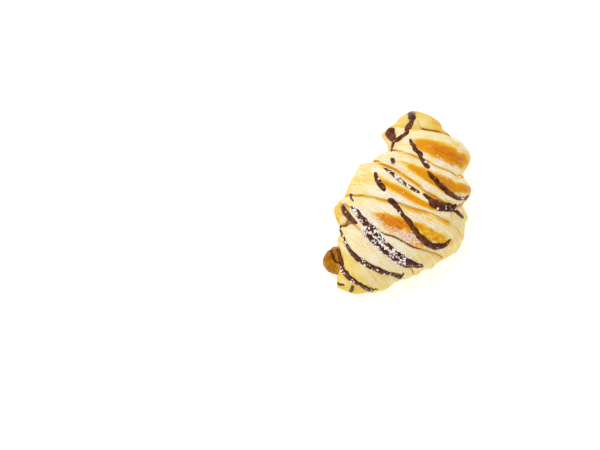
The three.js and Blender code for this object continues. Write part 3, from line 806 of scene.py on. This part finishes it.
# %% Paths and widths of the runs
# Each run: one or more strands of (x, y, width) in millimetres, before the frame's shift
RUNS = {
    "drizzle_head": [
        [(51.3, 16.5, 3.2), (49.6, 15.9, 4.1), (47.6, 15.2, 4.4), (45.9, 14.6, 4.2),
         (44.7, 14.1, 3), (43.8, 13.8, 2.2), (42.9, 13.6, 2.7), (41.4, 13.3, 2.9),
         (39.2, 13.8, 3.3), (36.9, 13.9, 2.5), (35.8, 12.9, 2), (33.6, 13.7, 2.3),
         (31.3, 15, 2.5), (29.6, 16.2, 2.5), (28.7, 17.2, 2.2)],
        [(28.8, 17.6, 2), (30.3, 18.9, 3), (31.7, 20.2, 3.8),
         (33, 21.4, 4.6), (34, 22.4, 5), (34.8, 23.2, 4.4)],
        [(28.8, 17.4, 1.8), (26.8, 17.2, 1.4), (24.4, 16.8, 1.2),
         (20.8, 15.7, 0.7)]],
    "drizzle_drop": [
        [(16.4, 13.7, 2.2), (14.8, 12.5, 2.4), (12.8, 10.9, 1.9)]],
    "drizzle_neck": [
        [(32, 9.8, 1.4), (29.7, 7.8, 2.2), (27.3, 5.3, 2.4), (25.6, 2.8, 2.5),
         (24.6, 0.6, 2.6), (23.2, -0.4, 1.7), (21.8, -2.3, 2.5),
         (20.1, -4.8, 3.1), (18.7, -7.2, 2)]],
    "drizzle_shoulder": [
        [(16.8, -6.8, 1.1), (15.5, -9.9, 2.5), (14.1, -13.7, 3.2),
         (12.6, -17.8, 3.4), (11.8, -21.8, 3.5), (11.7, -25.4, 3.1),
         (13.3, -28.6, 2.1), (16.6, -31.2, 1.4), (19.7, -32.5, 0.8)]],
    "drizzle_crown_thin": [
        [(8.9, 15.1, 0.9), (7.9, 12.7, 1.4), (7.2, 10, 2), (6.1, 6.8, 2.3),
         (5.1, 3.8, 2.2), (4.4, 0.5, 2), (3.8, -2.7, 2.1), (3.4, -6.1, 2.1),
         (3.2, -8.8, 1.7)]],
    "drizzle_crown_pool": [
        [(3.6, -10.2, 1.4), (3.1, -12.7, 2.1), (2.7, -15, 2.8), (1.3, -17.8, 5),
         (1.5, -20.6, 5.5), (2.6, -23.6, 4.4), (3.7, -26.5, 3.3),
         (7.2, -28.2, 1.7), (8.6, -28.6, 0.9)],
        [(5.1, -27.6, 2), (5.4, -30.2, 2.1), (5.2, -33, 2.2), (5.9, -35.2, 2)]],
    "drizzle_middle_start": [
        [(4.4, 18.2, 1.3), (2.1, 16.4, 2.3), (-0.3, 13.8, 2.8), (-2.2, 11, 2.9),
         (-3.7, 8.1, 2)]],
    "drizzle_middle": [
        [(-7.4, 5.2, 1.4), (-7.2, 2.8, 2.8), (-8.5, -0.5, 2.9),
         (-10.2, -3.6, 2.5), (-11.8, -6.8, 2.2), (-13, -10, 2.8),
         (-14.8, -13.2, 2.8), (-16.4, -16.8, 3), (-17.6, -20.7, 3.3),
         (-17.8, -25, 3.2), (-16.4, -29, 2.7), (-13.8, -32.1, 2.1),
         (-11.2, -33.7, 1.2), (-9.7, -33.9, 0.6)]],
    "drizzle_fleck": [
        [(-9.9, 25.6, 1.5), (-12.3, 23.8, 1.2), (-14.8, 21.6, 0.6)]],
    "drizzle_left_fold": [
        [(-16.9, 27.1, 1.4), (-20, 24.5, 2.5), (-22.3, 21.1, 2.5),
         (-24, 17.4, 2.1), (-24.8, 14.1, 0.9)]],
    "drizzle_double_upper": [
        [(-17.5, 21.7, 0.9), (-18.3, 19.7, 2.3), (-19.7, 16.7, 3),
         (-21.4, 13.7, 3.2), (-22.9, 10.8, 3.3), (-24.2, 7.4, 3.9),
         (-24.9, 3.9, 3.5), (-26.6, 0.1, 2.5), (-27.8, -3.8, 2.1),
         (-28.8, -7.6, 2.2), (-29.6, -11.5, 2.3), (-29.8, -15.3, 2.4),
         (-29.9, -19.1, 2.4), (-29.2, -22.7, 2.4), (-28, -25.6, 1.9),
         (-26.9, -27.6, 0.8)]],
    "drizzle_double_lower": [
        [(-25.1, 10.9, 1.1), (-26.8, 7.8, 2.3), (-28.5, 4.3, 2.4),
         (-29.8, 0.6, 2.4), (-31, -3.5, 2.3), (-31.6, -7.5, 2.3),
         (-32.1, -11.4, 2.3), (-32.1, -15.2, 2.3), (-31.6, -18.2, 2.3),
         (-30.7, -20.5, 2), (-29.5, -22.7, 1.4)]],
    "drizzle_tail_upper": [
        [(-25.3, 23.3, 0.8), (-28.6, 21.4, 1.2), (-32.5, 18.1, 1.3),
         (-35.5, 14.9, 1.3), (-38.1, 11, 1.7), (-39.9, 6.5, 2.2),
         (-40.7, 1.9, 2.4), (-41, -2.8, 2.4), (-40.7, -7.1, 2.3),
         (-40, -10.8, 1.7), (-38.9, -14, 1.2), (-38, -16.4, 1.7),
         (-36.6, -18.5, 1.5), (-35.5, -19.2, 1.1), (-34.5, -19.6, 0.8)]],
    "drizzle_tail_lower": [
        [(-45.7, 12.6, 1.8), (-48, 9.6, 2.3), (-49.5, 6.3, 2.4),
         (-50.2, 2.6, 2.1), (-50.3, -0.5, 1.5), (-50.3, -3.2, 1.7),
         (-49.7, -5.2, 1.6), (-49.1, -6.7, 1.3), (-48.6, -8.1, 1),
         (-48.1, -9.5, 0.7), (-47.7, -10.8, 0.4)]],
    "drizzle_stub": [
        [(-37.1, 19.5, 1.1), (-39.7, 17.2, 1.8), (-42.1, 14.9, 1.8), (-44.4, 12.9, 1.7),
         (-45.7, 12, 1.2)]],
    "drizzle_tip_fleck": [
        [(-53, 11.2, 0.8), (-53.9, 9.6, 1), (-53.6, 6.7, 0.6)]],
    "drizzle_tip_dot": [
        [(-52.7, 3.3, 1.3), (-53.1, 2.3, 2), (-53.8, 2.3, 2), (-54.3, 3.5, 1)]],
}
print("runs", len(RUNS), "missing", sorted(set(DRIZZLE_NODES) - set(RUNS)))


# %% The path of a strand
STRAND_COLUMNS = 20              # points round a bead
STRAND_STEP = 0.35               # distance between two of its rings, in millimetres


def strand_path(measures):
    """Places along a strand, a little closer together near its ends, and at each place the middle
    line, the direction to its left, the width, and how full the bead is. The line and the width
    are smooth curves through the measures, and both ends round off as sqrt(1 - (1 - s / r)^2)."""
    x, y, width = np.array(measures, float).T
    travelled = np.concatenate([[0], np.cumsum(np.hypot(np.diff(x), np.diff(y)))])
    count = max(24, int(travelled[-1] / STRAND_STEP))
    ease = (1 - np.cos(np.linspace(0, np.pi, count))) / 2
    even = np.linspace(0, 1, count)
    place = (0.35 * ease + 0.65 * even) * travelled[-1]
    centre = np.stack([smooth_through(list(zip(travelled, values)), place)
                       for values in (x, y)], axis=-1)
    ahead = np.gradient(centre, axis=0)
    ahead /= np.linalg.norm(ahead, axis=1, keepdims=True)
    sideways = np.stack([-ahead[:, 1], ahead[:, 0]], axis=-1)
    wide = smooth_through(list(zip(travelled, width)), place)
    end_width = np.where(place < travelled[-1] / 2, width[0], width[-1])
    ends = np.minimum(place, travelled[-1] - place) / (0.5 * end_width + 0.3)
    fullness = np.sqrt(np.clip(1 - np.clip(1 - ends, 0, 1) ** 2, 0, None))[:, None]
    return place, centre, sideways, wide, fullness


print("a bead has", STRAND_COLUMNS, "points round it, in rings about", STRAND_STEP, "mm apart")


# %% One strand of chocolate
BEAD_HEIGHT = 0.34               # a bead's height as a share of its width
DROOP = 0.8                      # how far a side may hang below or above the middle, in widths
SUNK, SKIN = 0.1, 0.05           # how far the underside and the upper side go into the crust


def strand_points(measures, seed):
    """A bead along a path. Across the path: x, y = path + side * width / 2 * cos(v); the upper
    half rises by height * sin(v) along the crust's normal, and the lower half sinks in a little.
    The crust's height is held within the droop of the middle's, so that a bead ends at a steep
    edge instead of running down it."""
    place, centre, sideways, wide, fullness = strand_path(measures)
    edge_place = np.stack([place, place * 0], -1)
    wide_left = wide * (1 + 0.1 * ripples(edge_place, 5.0, seed=seed))
    wide_right = wide * (1 + 0.1 * ripples(edge_place, 4.0, seed=seed + 1))
    centre = centre + sideways * (0.12 * ripples(edge_place, 5.0, seed=seed + 2))[:, None]
    uneven_height = (1 + 0.2 * ripples(edge_place, 3.0, seed=seed + 3))[:, None]
    turn = np.linspace(0, 2 * np.pi, STRAND_COLUMNS, endpoint=False)[None, :]
    half = np.where(np.cos(turn) > 0, wide_left[:, None], wide_right[:, None]) / 2
    reach = (half * fullness * np.cos(turn))[..., None]
    plan = centre[:, None, :] + sideways[:, None, :] * reach + np.array(ORIGIN_SHIFT)
    lift = np.sign(np.sin(turn)) * np.abs(np.sin(turn)) ** 0.8
    spine_x, spine_y = (centre + np.array(ORIGIN_SHIFT)).T
    level = read_map(resting, spine_x, spine_y)[:, None]
    droop = DROOP * wide[:, None]
    ground = np.clip(read_map(resting, plan[..., 0], plan[..., 1]), level - droop, level + droop)
    height = BEAD_HEIGHT * wide[:, None] * uneven_height
    thick = height * fullness * np.clip(lift, 0, None)
    outwards = surface_normal(plan[..., 0], plan[..., 1])
    plan = plan + outwards[..., :2] * thick[..., None]
    on_top = ground + outwards[..., 2] * thick - SKIN
    below = np.minimum(read_map(surface, plan[..., 0], plan[..., 1]), ground)
    below = np.maximum(below, level - droop) - SUNK + 0.45 * fullness * lift
    z = np.where(lift >= 0, on_top, np.minimum(below, ground - SUNK - SKIN))
    return np.concatenate([plan, z[..., None]], axis=-1)

# %% The chocolate pieces
def join_grids(grids):
    """Several closed grids as one set of vertices, quads and triangles."""
    vertices, quads, triangles, count = [], [], [], 0
    for grid in grids:
        some, four, three = closed_grid(grid)
        vertices.append(some)
        quads.append(four + count)
        triangles.append(three + count)
        count += len(some)
    return tuple(np.concatenate(parts) for parts in (vertices, quads, triangles))


chocolate_pieces, strand_grids, strand_runs = [], [], []
for number, (run, strands) in enumerate(RUNS.items()):
    grids = [strand_points(measures, 100 + 10 * number + 4 * turn)
             for turn, measures in enumerate(strands)]
    strand_grids += grids
    strand_runs += [run] * len(grids)
    piece = put_mesh(run.replace("drizzle", "chocolate"), *join_grids(grids))
    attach(piece, "root")
    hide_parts(run)
    chocolate_pieces.append(piece)
print("chocolate", sum(len(piece.data.polygons) for piece in chocolate_pieces), "faces")

# %% [markdown]
# ## The icing sugar
# A pinch of icing sugar was shaken over the roll. Most of it melts into a pale bloom, which the
# crust's material shows, but the larger grains stay white and sit on the ridges and on the
# chocolate. They are real little crumbs: one twenty-sided shape, turned and sized at random with
# a fixed seed, copied to every place.

# %% One grain and how grains scatter
def icosahedron():
    """The twelve corners (0, +-1, +-g) and their turns, g = golden ratio, and the twenty faces: the
    triples of corners that all lie one edge apart, turned to look outwards."""
    g = (1 + 5 ** 0.5) / 2
    base = np.array([(0, a, b * g) for a in (-1, 1) for b in (-1, 1)])
    corners = np.concatenate([np.roll(base, shift, axis=1) for shift in range(3)])
    gap = np.linalg.norm(corners[:, None] - corners[None], axis=-1)
    near = np.abs(gap - 2) < 0.01
    i, j, k = np.meshgrid(*[np.arange(12)] * 3, indexing="ij")
    found = near[i, j] & near[j, k] & near[i, k] & (i < j) & (j < k)
    faces = np.stack([i[found], j[found], k[found]], axis=-1)
    a, b, c = (corners[faces[:, n]] for n in range(3))
    inward = np.einsum("ij,ij->i", np.cross(b - a, c - a), a + b + c) < 0
    faces[inward] = faces[inward][:, [0, 2, 1]]
    return corners / np.linalg.norm(corners[0]), faces


def scatter(grid, weight, count, draw):
    """Random places on a grid: cells drawn by weight, then a random point between the cell's own
    corner and its three neighbours, each weighed by how near the point is."""
    chance = weight[:-1, :-1].ravel().astype(float)
    picked = draw.choice(len(chance), size=count, p=chance / chance.sum())
    i, j = np.divmod(picked, weight.shape[1] - 1)
    s, t = draw.random((2, count, 1))
    return grid[i, j] * (1 - s - t + s * t) + grid[i + 1, j] * s * (1 - t) + (
        grid[i, j + 1] * (1 - s) * t + grid[i + 1, j + 1] * s * t)


print("a grain has", len(icosahedron()[1]), "faces")

# %% Grains on the crust
GRAINS_ON_CRUST = 2300
draw = np.random.default_rng(77)
facing = np.cross(np.gradient(points, axis=0), np.gradient(points, axis=1))
seen_from_above = np.clip(facing[..., 2], 0, None)
crust_places = scatter(points, seen_from_above * (powder ** 1.5 + 0.004), GRAINS_ON_CRUST, draw)
print("grains on the crust", len(crust_places))

# %% [markdown]
# The runs that lie where the sugar was shaken catch a lot of it, in clusters, and a few grains
# come to rest beside them on the crust. The last part of a run, low on the flank, stays nearly
# clean, because it faces sideways and was sheltered.

# %% Grains on the chocolate
SUGARED = {"drizzle_double_upper": 4.2, "drizzle_double_lower": 4.0, "drizzle_crown_thin": 2.6,
           "drizzle_tail_upper": 1.2, "drizzle_tail_lower": 1.5, "drizzle_stub": 0.0,
           "drizzle_fleck": 0.0, "drizzle_tip_fleck": 0.0, "drizzle_tip_dot": 0.0}
HARDLY = 0.22                    # how sugared every other run is
GRAINS_PER_RING = 0.28           # grains for each ring of points, where sugared is 1
SPILLS = 3                       # a run sugared more than this has grains beside it too


def spilt_beside(grid):
    """Grains on the crust beside a strand: edge + outwards * a random distance, mostly short."""
    edge = draw.choice([0, STRAND_COLUMNS // 2], size=2 * len(grid))
    ring = draw.integers(4, int(0.8 * len(grid)), size=2 * len(grid))
    outwards = grid[ring, edge] - grid[ring, STRAND_COLUMNS // 2 - edge]
    outwards /= np.linalg.norm(outwards, axis=-1, keepdims=True)
    spilt = grid[ring, edge] + outwards * draw.exponential(0.45, (len(ring), 1))
    spilt[:, 2] = read_map(surface, spilt[:, 0], spilt[:, 1])
    return spilt


chocolate_places = []
for number, (run, grid) in enumerate(zip(strand_runs, strand_grids)):
    top_side = grid[:, 2:STRAND_COLUMNS // 2 - 1]
    sugared = SUGARED.get(run, HARDLY)
    count = int(len(grid) * GRAINS_PER_RING * sugared)
    if count:
        clusters = np.clip(0.35 + ripples(top_side, 3.2, seed=301 + number), 0.02, 1) ** 1.5
        sheltered = soft_step(0.72, 0.88, np.linspace(0, 1, len(grid)))[:, None]
        chocolate_places.append(scatter(top_side, clusters * (1 - 0.9 * sheltered), count, draw))
    if sugared > SPILLS:
        chocolate_places.append(spilt_beside(grid))
places = np.concatenate([crust_places, *chocolate_places])
print("grains on and beside the chocolate", len(places) - len(crust_places))

# %% The icing sugar piece
LEAST_GRAIN, LARGEST_GRAIN = 0.14, 0.36                    # radii in millimetres
corners, grain_faces = icosahedron()
size = draw.uniform(LEAST_GRAIN, LARGEST_GRAIN, (len(places), 1, 1))
size = size * draw.uniform(0.5, 1.4, (len(places), 1, 3))
size[len(crust_places):] *= 0.9 + 1.9 * draw.random((len(places) - len(crust_places), 1, 1)) ** 2
spin, _ = np.linalg.qr(draw.normal(size=(len(places), 3, 3)))
spin *= np.sign(np.linalg.det(spin))[:, None, None]
grains = np.einsum("nij,nkj->nki", spin, corners[None] * size) + (places + [0, 0, 0.06])[:, None]
grain_list = grain_faces[None] + len(corners) * np.arange(len(places))[:, None, None]
icing_sugar = put_mesh("icing_sugar", grains.reshape(-1, 3) * MM, np.zeros((0, 4), int),
                       grain_list.reshape(-1, 3))
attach(icing_sugar, "root")
print(icing_sugar.name, len(icing_sugar.data.polygons), "faces")

# %% [markdown]
# ## Finishes
# Two effects are shared, so each is a node group made once: the fine crumb, on the crust and the
# stub, and the dust of sugar, on the crust and the chocolate. The colour of baked dough is a group
# too, because it is a recipe of its own. A small helper places a node and joins or sets its
# sockets, which keeps the cells below short.

# %% Node helpers
def plug(tree, socket, value):
    """Joins another node's socket to an input, or sets a plain value on the input itself."""
    if isinstance(value, bpy.types.NodeSocket):
        tree.links.new(value, socket)
    else:
        socket.default_value = value


def node(tree, kind, settings=None, **inputs):
    """A node of a kind with its settings. Inputs are named, with _ for a space, or numbered as i0,
    i1 and so on; each takes a plain value or a socket to join."""
    made = tree.nodes.new(kind)
    for key, value in (settings or {}).items():
        setattr(made, key, value)
    for key, value in inputs.items():
        numbered = key[0] == "i" and key[1:].isdigit()
        plug(tree, made.inputs[int(key[1:]) if numbered else key.replace("_", " ")], value)
    return made


def maths(tree, operation, a, b=0.0, c=0.0, clamp=False):
    """A Math node's result: operation(a, b, c)."""
    return node(tree, "ShaderNodeMath", {"operation": operation, "use_clamp": clamp},
                i0=a, i1=b, i2=c).outputs[0]


def blend(tree, factor, a, b):
    """Colour a changed towards colour b by a factor."""
    return node(tree, "ShaderNodeMix", {"data_type": "RGBA"}, i0=factor, i6=a, i7=b).outputs[2]


def colour(red, green, blue):
    """Screen colour 0-255 as linear light: ((c + 0.055) / 1.055) ^ 2.4, with a full alpha."""
    share = np.array([red, green, blue]) / 255
    linear = np.where(share <= 0.04045, share / 12.92, ((share + 0.055) / 1.055) ** 2.4)
    return (*map(float, linear), 1.0)


def ramp(tree, factor, stops):
    """A colour ramp through (place, colour) stops."""
    made = node(tree, "ShaderNodeValToRGB", Fac=factor)
    band = made.color_ramp
    while len(band.elements) < len(stops):
        band.elements.new(0.5)
    for element, (place, shade) in zip(band.elements, stops):
        element.position = place
        element.color = shade
    return made.outputs[0]


def group(name, inputs, outputs):
    """A node group with named inputs (name, kind, value) and outputs (name, kind)."""
    tree = bpy.data.node_groups.new(name, "ShaderNodeTree")
    for title, kind, value in inputs:
        tree.interface.new_socket(title, in_out="INPUT", socket_type=kind).default_value = value
    for title, kind in outputs:
        tree.interface.new_socket(title, in_out="OUTPUT", socket_type=kind)
    return tree, tree.nodes.new("NodeGroupInput").outputs, tree.nodes.new("NodeGroupOutput").inputs


NUMBER, COLOUR, DIRECTION = "NodeSocketFloat", "NodeSocketColor", "NodeSocketVector"
print("toasted orange as linear light", [round(part, 3) for part in colour(231, 146, 0)])

# %% [markdown]
# The colour of baked dough runs from cream through butter yellow and gold to a deep orange. Egg
# wash gives the thin ends a stronger yellow, painted shade turns a groove golden brown and then
# dark brown, and the underside, which lay on the tray, browns most.

# %% Group: baked dough colour
baked, given, made = group(
    "baked dough colour",
    [("Bake", NUMBER, 0.2), ("Butter", NUMBER, 0.0), ("Groove", NUMBER, 0.0),
     ("Scorch", NUMBER, 0.0)], [("Color", COLOUR)])
shade = ramp(baked, given["Bake"], [
    (0.0, colour(252, 240, 212)), (0.12, colour(250, 230, 172)), (0.26, colour(247, 213, 116)),
    (0.42, colour(240, 188, 52)), (0.6, colour(236, 166, 4)), (0.8, colour(231, 146, 0)),
    (1.0, colour(214, 114, 0))])
shade = blend(baked, maths(baked, "MULTIPLY", given["Butter"], 0.55, clamp=True), shade,
              colour(236, 202, 66))
# Painted shade in grooves and shadow lines, from gold to dark brown
deep = ramp(baked, given["Groove"], [(0.0, colour(232, 176, 66)), (0.6, colour(206, 134, 34)),
                                     (1.0, colour(74, 34, 14))])
shade = blend(baked, maths(baked, "MULTIPLY", given["Groove"], 1.1, clamp=True), shade, deep)
shade = blend(baked, given["Scorch"], shade, colour(150, 92, 22))
baked.links.new(shade, made["Color"])
print(baked.name, len(baked.nodes), "nodes")

# %% [markdown]
# A crust is never smooth close up. Fine crumb and shallow blisters break the shine. The group
# gives a height for a Bump node and a mottle that shifts colour and shine together.

# %% Group: fine crumb
crumb, given, made = group(
    "fine crumb", [("Place", DIRECTION, (0, 0, 0)), ("Size", NUMBER, 1.0)],
    [("Height", NUMBER), ("Mottle", NUMBER)])
fine = node(crumb, "ShaderNodeTexNoise", Vector=given["Place"],
            Scale=maths(crumb, "MULTIPLY", given["Size"], 1900.0), Detail=3.0, Roughness=0.6)
broad = node(crumb, "ShaderNodeTexNoise", Vector=given["Place"],
             Scale=maths(crumb, "MULTIPLY", given["Size"], 420.0), Detail=4.0, Roughness=0.6)
height = maths(crumb, "ADD", maths(crumb, "MULTIPLY", fine.outputs[0], 0.5), broad.outputs[0])
crumb.links.new(height, made["Height"])
crumb.links.new(broad.outputs[0], made["Mottle"])
print(crumb.name, len(crumb.nodes), "nodes")

# %% [markdown]
# Sugar dust is a scatter of white specks that thickens to a bloom where more fell. The specks come
# from a fine noise compared with a threshold: the more dust, the lower the threshold.

# %% Group: sugar dust
dust, given, made = group(
    "sugar dust", [("Color", COLOUR, (1, 1, 1, 1)), ("Place", DIRECTION, (0, 0, 0)),
                   ("Amount", NUMBER, 0.0)], [("Color", COLOUR), ("Mask", NUMBER)])
specks = node(dust, "ShaderNodeTexNoise", Vector=given["Place"], Scale=1300.0, Detail=2.0,
              Roughness=0.7)
threshold = maths(dust, "MULTIPLY_ADD", given["Amount"], -0.24, 0.72)
speck_mask = maths(dust, "MULTIPLY", maths(dust, "SUBTRACT", specks.outputs[0], threshold), 14.0,
                   clamp=True)
bloom = maths(dust, "MULTIPLY", given["Amount"], 0.24)
mask = maths(dust, "MAXIMUM", maths(dust, "MULTIPLY", speck_mask, 0.9), bloom)
mask = maths(dust, "MULTIPLY", mask, maths(dust, "MULTIPLY", given["Amount"], 4.0, clamp=True))
dust.links.new(blend(dust, mask, given["Color"], colour(253, 247, 240)), made["Color"])
dust.links.new(mask, made["Mask"])
print(dust.name, len(dust.nodes), "nodes")


# %% [markdown]
# A material starts as one shader. The helpers below place a group in it, read the piece's own
# numbers and its Object coordinates, and join the results to the shader. A value that is the same
# all over is set on the shader itself.

# %% Material helpers
def new_finish(name, *pieces):
    """A new material on some pieces; what comes back is the node tree with its shader."""
    material = bpy.data.materials.new(name)
    material.use_nodes = True
    for piece in pieces:
        piece.data.materials.append(material)
    return material.node_tree


def place_on(tree):
    """The place on the piece, in its Object coordinates."""
    return node(tree, "ShaderNodeTexCoord").outputs["Object"]


def attribute(tree, name):
    """The number that a mesh attribute holds at each point."""
    return node(tree, "ShaderNodeAttribute", {"attribute_name": name}).outputs["Fac"]


def use(tree, shared, **inputs):
    """A group node of an effect, with this material's own values or sockets."""
    return node(tree, "ShaderNodeGroup", {"node_tree": shared}, **inputs).outputs


def bumpy(tree, height, strength, depth):
    """The surface's normal tilted by a height that varies, in metres."""
    return node(tree, "ShaderNodeBump", Strength=strength, Distance=depth,
                Height=height).outputs[0]


def set_shader(tree, **inputs):
    """Joins sockets to the material's shader, or sets plain values on it."""
    for key, value in inputs.items():
        plug(tree, tree.nodes["Principled BSDF"].inputs[key.replace("_", " ")], value)

# %% [markdown]
# ## The crust's finish
# The marks that follow the wraps come from a noise stretched along the unrolled crust: long round
# the roll, short along it. It shifts the baking a little, as the edges of the butter layers do.

# %% Crust finish
tree = new_finish("baked_crust", crust)
place = place_on(tree)
unrolled = node(tree, "ShaderNodeUVMap", {"uv_map": "unrolled"}).outputs[0]
stretched = node(tree, "ShaderNodeMapping", Vector=unrolled, Scale=(0.09, 0.9, 1.0)).outputs[0]
streaks = node(tree, "ShaderNodeTexNoise", Vector=stretched, Scale=1.0, Detail=4.0,
               Roughness=0.65).outputs[0]
texture = use(tree, crumb, Place=place, Size=1.0)
shift = maths(tree, "MULTIPLY", maths(tree, "SUBTRACT", streaks, 0.5), 0.9)
shift = maths(tree, "ADD", shift,
              maths(tree, "MULTIPLY", maths(tree, "SUBTRACT", texture["Mottle"], 0.5), 0.3))
baking = maths(tree, "ADD", attribute(tree, "bake"), shift, clamp=True)
# The groove number carries the painted shade of seams, creases and shadow lines
dough = use(tree, baked, Bake=baking, Butter=attribute(tree, "butter"),
            Groove=attribute(tree, "groove"), Scorch=attribute(tree, "scorch"))
dusted = use(tree, dust, Color=dough["Color"], Place=place, Amount=attribute(tree, "powder"))
roughness = maths(tree, "MULTIPLY_ADD", texture["Mottle"], 0.3, 0.34)
set_shader(tree, Base_Color=dusted["Color"],
           Roughness=maths(tree, "MULTIPLY_ADD", dusted["Mask"], 0.3, roughness, clamp=True),
           Normal=bumpy(tree, texture["Height"], 0.35, 0.0004), Specular_IOR_Level=0.14)
print("crust finish", len(tree.nodes), "nodes")

# %% [markdown]
# The stub sticks out and browned on all sides, so one brown covers all of it, with painted shade
# in the gaps and a painted highlight in the hook. It shares only the fine crumb with the crust.

# %% Stub finish
tree = new_finish("toasted_stub_finish", toasted_stub)
texture = use(tree, crumb, Place=place_on(tree), Size=0.8)
toast = ramp(tree, texture["Mottle"], [(0.3, colour(146, 78, 0)), (0.5, colour(188, 118, 0)),
                                       (0.72, colour(222, 158, 30))])
# Painted highlight inside the hook
toast = blend(tree, maths(tree, "MULTIPLY", attribute(tree, "painted_highlight"), 0.6), toast,
              colour(226, 196, 128))
# Painted shade in the gaps and folds
toast = blend(tree, maths(tree, "MULTIPLY", attribute(tree, "groove"), 0.95), toast,
              colour(44, 20, 12))
set_shader(tree, Base_Color=toast,
           Roughness=maths(tree, "MULTIPLY_ADD", texture["Mottle"], 0.3, 0.3),
           Normal=bumpy(tree, texture["Height"], 0.4, 0.0004), Specular_IOR_Level=0.06)
print("stub finish", len(tree.nodes), "nodes")

# %% [markdown]
# ## The chocolate's finish
# Set chocolate is dark brown and glossy, with a faint grey bloom in places and a little dust of
# sugar caught on it. The gloss is a thin coat over a satin body.

# %% Chocolate finish
tree = new_finish("set_chocolate", *chocolate_pieces)
place = place_on(tree)
cloudy = node(tree, "ShaderNodeTexNoise", Vector=place, Scale=330.0, Detail=3.0).outputs[0]
brown = ramp(tree, cloudy, [(0.3, colour(62, 14, 0)), (0.52, colour(88, 36, 6)),
                            (0.75, colour(134, 76, 34))])
dusted = use(tree, dust, Color=brown, Place=place, Amount=0.08)
set_shader(tree, Base_Color=dusted["Color"],
           Roughness=maths(tree, "MULTIPLY_ADD", cloudy, 0.25, 0.2),
           Normal=bumpy(tree, cloudy, 0.25, 0.0005), Specular_IOR_Level=0.1,
           Coat_Weight=0.07, Coat_Roughness=0.1)
print("chocolate finish", len(tree.nodes), "nodes, on", len(chocolate_pieces), "pieces")

# %% [markdown]
# The grains are nearly white and quite matt, and no two have quite the same tint.

# %% Sugar finish
tree = new_finish("icing_sugar_grains", icing_sugar)
tint = node(tree, "ShaderNodeTexNoise", Vector=place_on(tree), Scale=900.0, Detail=2.0).outputs[0]
white = ramp(tree, tint, [(0.3, colour(250, 242, 232)), (0.7, colour(255, 253, 250))])
set_shader(tree, Base_Color=white, Roughness=0.6)
print("sugar finish", len(tree.nodes), "nodes")

# %% [markdown]
# ## Floor and light
# A wide pale floor and a bright, almost shadowless studio: an even white sky, one large soft
# light from the upper left, and a floor that gives back a little light of its own, so that it
# stays close to white right up to the roll.

# %% Floor
FLOOR_HALF, FLOOR_DROP = 1.5, 0.0002                       # in metres
FLOOR_GREY, FLOOR_GLOW = 0.85, 0.55
floor_corners = np.array([(-1, -1, 0), (1, -1, 0), (1, 1, 0), (-1, 1, 0)]) * FLOOR_HALF
floor_corners[:, 2] = cad_box[0][2] - FLOOR_DROP
floor = put_mesh("floor", floor_corners, np.array([[0, 1, 2, 3]]), np.zeros((0, 3), int))
set_shader(new_finish("pale_floor", floor), Base_Color=(*[FLOOR_GREY] * 3, 1), Roughness=0.9,
           Specular_IOR_Level=0.1, Emission_Color=(1, 1, 1, 1), Emission_Strength=FLOOR_GLOW)
print("floor", 2 * FLOOR_HALF, "m wide")

# %% Light
SKY_STRENGTH = 0.61
world = bpy.data.worlds.new("studio")
world.use_nodes = True
background = world.node_tree.nodes["Background"]
background.inputs["Color"].default_value = (1.0, 1.0, 1.0, 1)
background.inputs["Strength"].default_value = SKY_STRENGTH
bpy.context.scene.world = world


def soft_light(name, towards, distance, size, power):
    """A square area light at a distance from the roll's middle, looking at it."""
    data = bpy.data.lights.new(name, "AREA")
    data.size = size
    data.energy = power
    lamp = bpy.data.objects.new(name, data)
    direction = Vector(towards).normalized()
    lamp.location = ROLL_MIDDLE + direction * distance
    lamp.rotation_euler = direction.to_track_quat("Z", "Y").to_euler()
    bpy.context.scene.collection.objects.link(lamp)


soft_light("key", -right * 0.4 + Vector(up) * 0.3 + Vector((0, 0, 1.0)), distance=1.2, size=0.5,
           power=6.3)
bpy.context.scene.view_settings.view_transform = "Standard"
print("sky", SKY_STRENGTH, "and one key light")

# %% [markdown]
# ## The solid model's box
# The solid model's box, printed once more. The visual model must stay in the solid
# model's box, give or take a few millimetres.

# %% The solid model's box
bpy.context.view_layer.update()
print("cad box", cad_box)
